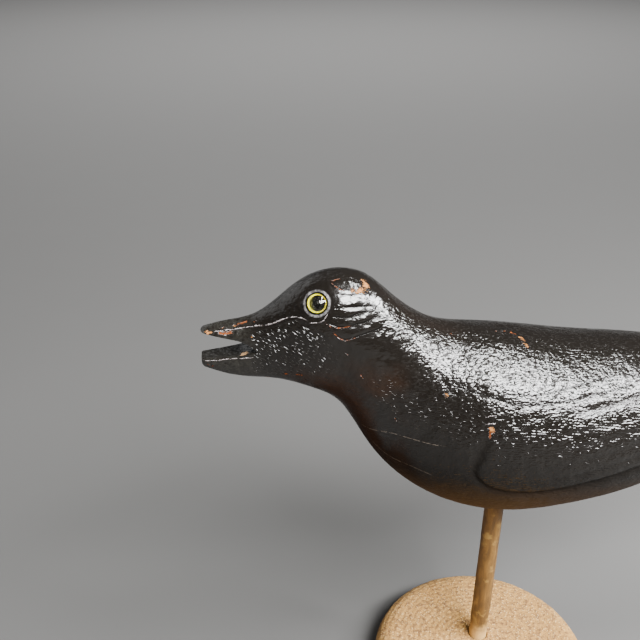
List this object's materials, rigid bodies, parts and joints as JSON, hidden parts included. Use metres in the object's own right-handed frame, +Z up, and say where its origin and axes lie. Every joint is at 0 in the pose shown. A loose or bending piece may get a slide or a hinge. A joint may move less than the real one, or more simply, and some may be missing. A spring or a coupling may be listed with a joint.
{
  "type": "crow decoy",
  "caption": "Life-size carved wooden crow decoy, painted black, with glass eyes and open bill, standing on a rod in a round base.",
  "frame": {"origin": "on the underside of the base, straight below the rod's axis, which lies in the crow's own middle plane", "axes": "-X toward the beak, +X toward the tail, -Y the crow's left side (the side that the picture shows), +Z up"},
  "size_m": [0.395, 0.14, 0.2947],
  "materials": {
    "painted_wood": "glossy black paint over carved wood, worn to reddish and tan wood at the edges",
    "eye_glass": "clear domed glass over a painted yellow iris and black pupil",
    "rod_wood": "stained and worn dowel, mottled brown with golden patches",
    "sanded_base": "pale turned wood with a matt, sandy grained surface"
  },
  "bodies": {
    "root": {"carved_crow": "painted_wood", "left_eye": "eye_glass", "right_eye": "eye_glass", "stand_rod": "rod_wood", "round_base": "sanded_base"}
  },
  "joints": []
}
